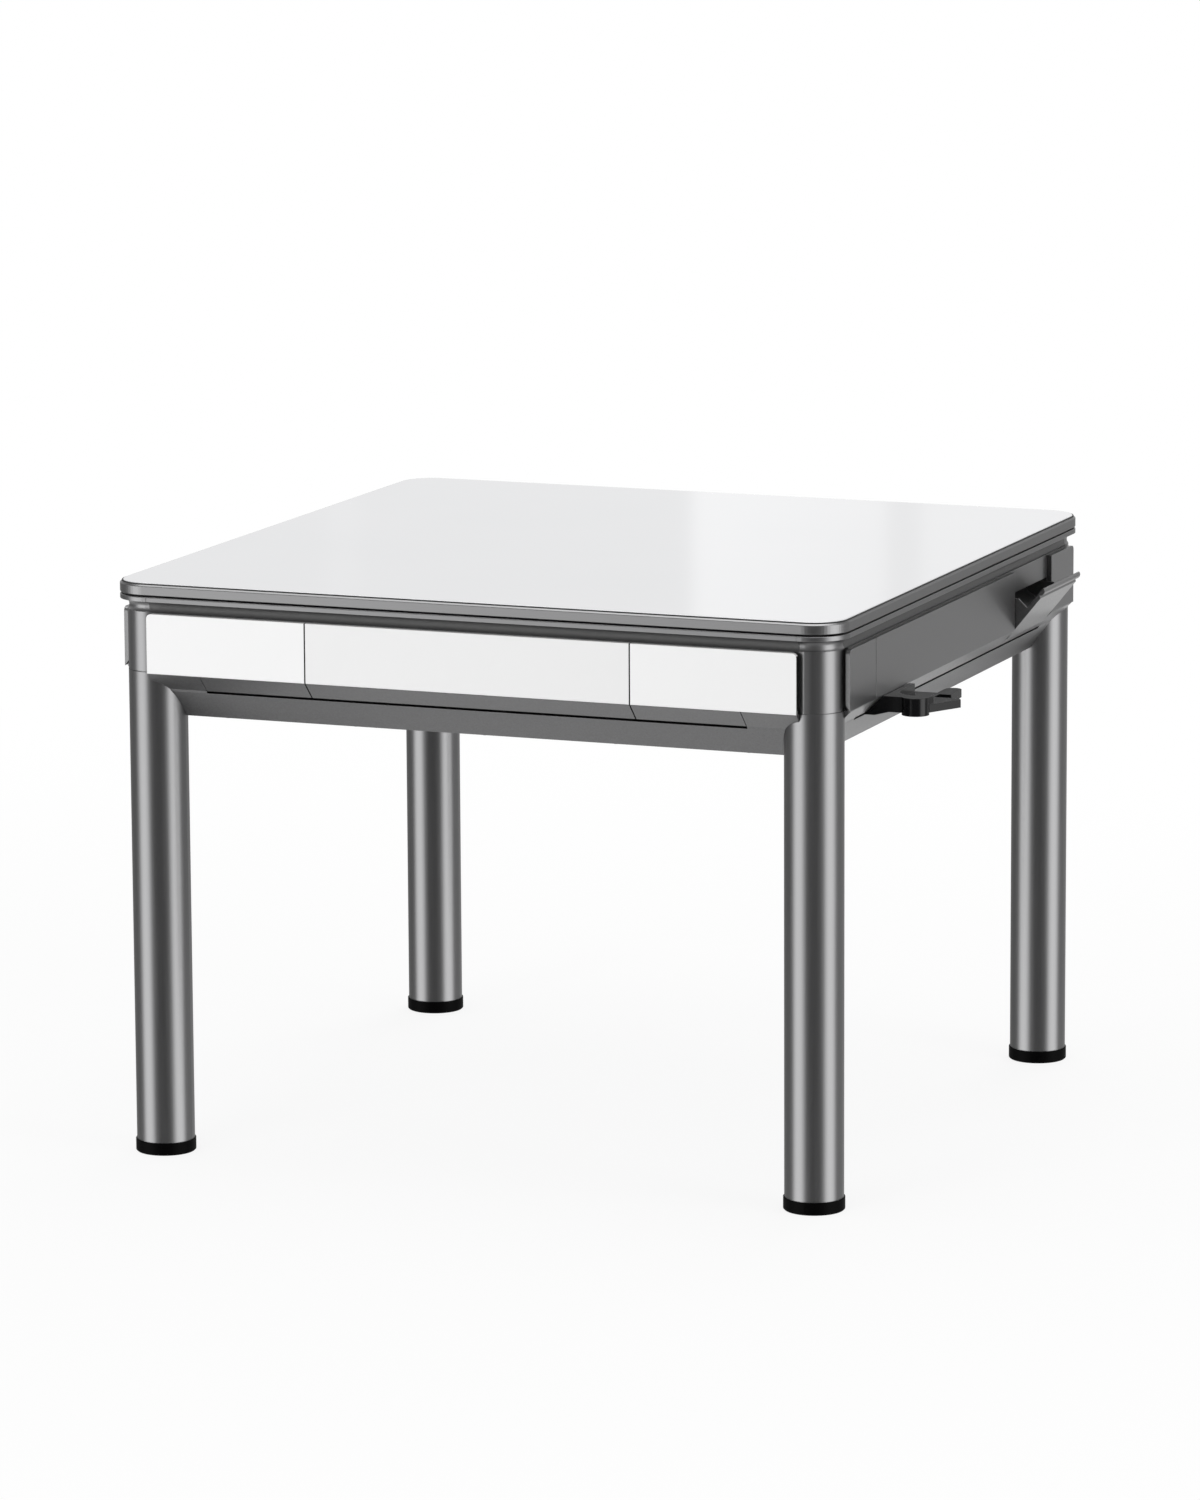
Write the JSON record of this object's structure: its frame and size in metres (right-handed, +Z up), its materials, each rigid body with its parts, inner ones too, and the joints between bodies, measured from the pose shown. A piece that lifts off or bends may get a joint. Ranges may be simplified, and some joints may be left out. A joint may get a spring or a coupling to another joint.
{
  "type": "automatic mahjong table",
  "caption": "Square table on round legs with a lift-off white cover over a tile-shuffling play deck, grey casing, tilt-out trays and a clip-on cup holder.",
  "frame": {"origin": "on the floor, midway between the four feet, under the centre of the table top", "axes": "+Z up, -Y towards the front player, +X towards the side with the open tray and the cup holder"},
  "size_m": [1.084, 1, 0.76],
  "materials": {
    "white_laminate": "gloss white laminate on fibreboard",
    "white_gloss": "gloss white acrylic face plate",
    "gunmetal_aluminium": "satin gunmetal anodised extrusion",
    "gunmetal_steel": "satin metallic grey coated tube",
    "gunmetal_plastic": "moulded panel with satin metallic grey coat",
    "foot_rubber": "black moulded cap",
    "pad_rubber": "soft black pad",
    "gloss_black": "gloss black moulding",
    "bright_steel": "bright turned steel",
    "pan_steel": "zinc plated sheet",
    "deck_board": "fibreboard",
    "green_felt": "napped play cloth",
    "lift_plastic": "green moulded lift bar",
    "dark_plastic": "dark moulded mechanism part",
    "console_plastic": "gloss charcoal moulding",
    "clear_window": "clear moulded dome",
    "white_plate": "white flocked plate",
    "red_button": "red push button",
    "blue_button": "blue push button",
    "drive_rubber": "friction tyre",
    "unit_metal": "folded aluminium case",
    "circuit_board": "green circuit board"
  },
  "bodies": {
    "frame": {"apron_back": "gunmetal_plastic", "apron_front": "gunmetal_plastic", "apron_left": "gunmetal_plastic", "apron_right": "gunmetal_plastic", "base_pan": "pan_steel", "centre_column": "bright_steel", "chin_strips": "gunmetal_plastic", "control_board": "circuit_board", "corner_posts": "gunmetal_aluminium", "drive_motor": "unit_metal", "feet": "foot_rubber", "hinge_pins": "bright_steel", "hopper_ring": "dark_plastic", "leg_back_left": "gunmetal_steel", "leg_back_right": "gunmetal_steel", "leg_front_left": "gunmetal_steel", "leg_front_right": "gunmetal_steel", "lift_guides": "bright_steel", "panel_back_centre": "white_gloss", "panel_back_left": "white_gloss", "panel_front_centre": "white_gloss", "panel_front_left": "white_gloss", "panel_left_centre": "gunmetal_plastic", "panel_left_ends": "gunmetal_plastic", "panel_right_centre": "gunmetal_plastic", "panel_right_ends": "gunmetal_plastic", "play_deck": "deck_board", "play_felt": "green_felt", "power_unit": "unit_metal", "rim_corners": "gunmetal_aluminium", "rim_rail_back": "gunmetal_aluminium", "rim_rail_front": "gunmetal_aluminium", "rim_rail_left": "gunmetal_aluminium", "rim_rail_right": "gunmetal_aluminium", "wall_back": "gunmetal_plastic", "wall_front": "gunmetal_plastic", "wall_left": "gunmetal_plastic", "wall_right": "gunmetal_plastic"},
    "cover": {"cover_board": "white_laminate", "cover_band": "gunmetal_aluminium", "cover_pads": "pad_rubber"},
    "tray_front": {"tray_front": "gunmetal_plastic", "tray_face_front": "white_gloss"},
    "tray_back": {"tray_back": "gunmetal_plastic", "tray_face_back": "white_gloss"},
    "tray_right": {"tray_right": "gunmetal_plastic"},
    "tray_left": {"tray_left": "gunmetal_plastic"},
    "cup_holder": {"cup_holder": "gloss_black"},
    "turntable": {"turntable": "dark_plastic"},
    "drive_roller": {"drive_roller": "drive_rubber"},
    "tile_lift_front": {"tile_lift_front": "lift_plastic"},
    "tile_lift_right": {"tile_lift_right": "lift_plastic"},
    "tile_lift_back": {"tile_lift_back": "lift_plastic"},
    "tile_lift_left": {"tile_lift_left": "lift_plastic"},
    "console": {"console": "console_plastic", "console_window": "clear_window"},
    "dice_plate": {"dice_plate": "white_plate"},
    "dice_button": {"dice_button": "red_button"},
    "lift_button": {"lift_button": "blue_button"}
  },
  "joints": [
    {"name": "cover_lift", "type": "slide", "parent": "frame", "child": "cover", "axis": [0, 0, 1], "range_m": [0, 0.3]},
    {"name": "tray_right_tilt", "type": "hinge", "parent": "frame", "child": "tray_right", "pos_m": [0.4897, 0.2775, 0.647], "axis": [0, 1, 0], "range_deg": [-39, 0]},
    {"name": "tray_front_tilt", "type": "hinge", "parent": "frame", "child": "tray_front", "pos_m": [0.2975, -0.4715, 0.626], "axis": [1, 0, 0], "range_deg": [0, 28]},
    {"name": "tray_back_tilt", "type": "hinge", "parent": "frame", "child": "tray_back", "pos_m": [-0.2975, 0.4715, 0.626], "axis": [-1, 0, 0], "range_deg": [0, 28]},
    {"name": "tray_left_tilt", "type": "hinge", "parent": "frame", "child": "tray_left", "pos_m": [-0.4897, -0.2775, 0.647], "axis": [0, -1, 0], "range_deg": [0, 39]},
    {"name": "cup_holder_slide", "type": "slide", "parent": "frame", "child": "cup_holder", "axis": [0, 1, 0], "range_m": [-0.03, 0.38]},
    {"name": "turntable_spin", "type": "hinge", "parent": "frame", "child": "turntable", "pos_m": [0, 0, 0.61], "axis": [0, 0, 1], "continuous": true},
    {"name": "drive_roller_spin", "type": "hinge", "parent": "frame", "child": "drive_roller", "pos_m": [0.20881, 0.20881, 0.61], "axis": [0, 0, 1], "continuous": true},
    {"name": "tile_lift_front_slide", "type": "slide", "parent": "frame", "child": "tile_lift_front", "axis": [0, 0, 1], "range_m": [-0.045, 0]},
    {"name": "tile_lift_right_slide", "type": "slide", "parent": "frame", "child": "tile_lift_right", "axis": [0, 0, 1], "range_m": [-0.045, 0]},
    {"name": "tile_lift_back_slide", "type": "slide", "parent": "frame", "child": "tile_lift_back", "axis": [0, 0, 1], "range_m": [-0.045, 0]},
    {"name": "tile_lift_left_slide", "type": "slide", "parent": "frame", "child": "tile_lift_left", "axis": [0, 0, 1], "range_m": [-0.045, 0]},
    {"name": "console_lift", "type": "slide", "parent": "frame", "child": "console", "axis": [0, 0, 1], "range_m": [0, 0.026]},
    {"name": "dice_plate_spin", "type": "hinge", "parent": "console", "child": "dice_plate", "pos_m": [0, 0, 0.69], "axis": [0, 0, 1], "continuous": true},
    {"name": "dice_button_press", "type": "slide", "parent": "console", "child": "dice_button", "axis": [0, 0, -1], "range_m": [0, 0.002], "stiffness_N_per_m": 300},
    {"name": "lift_button_press", "type": "slide", "parent": "console", "child": "lift_button", "axis": [0, 0, -1], "range_m": [0, 0.002], "stiffness_N_per_m": 300}
  ],
  "couplings": [
    {"joint": "drive_roller_spin", "follows": "turntable_spin", "ratio": -18.667},
    {"joint": "tile_lift_right_slide", "follows": "tile_lift_front_slide", "ratio": 1},
    {"joint": "tile_lift_back_slide", "follows": "tile_lift_front_slide", "ratio": 1},
    {"joint": "tile_lift_left_slide", "follows": "tile_lift_front_slide", "ratio": 1}
  ]
}
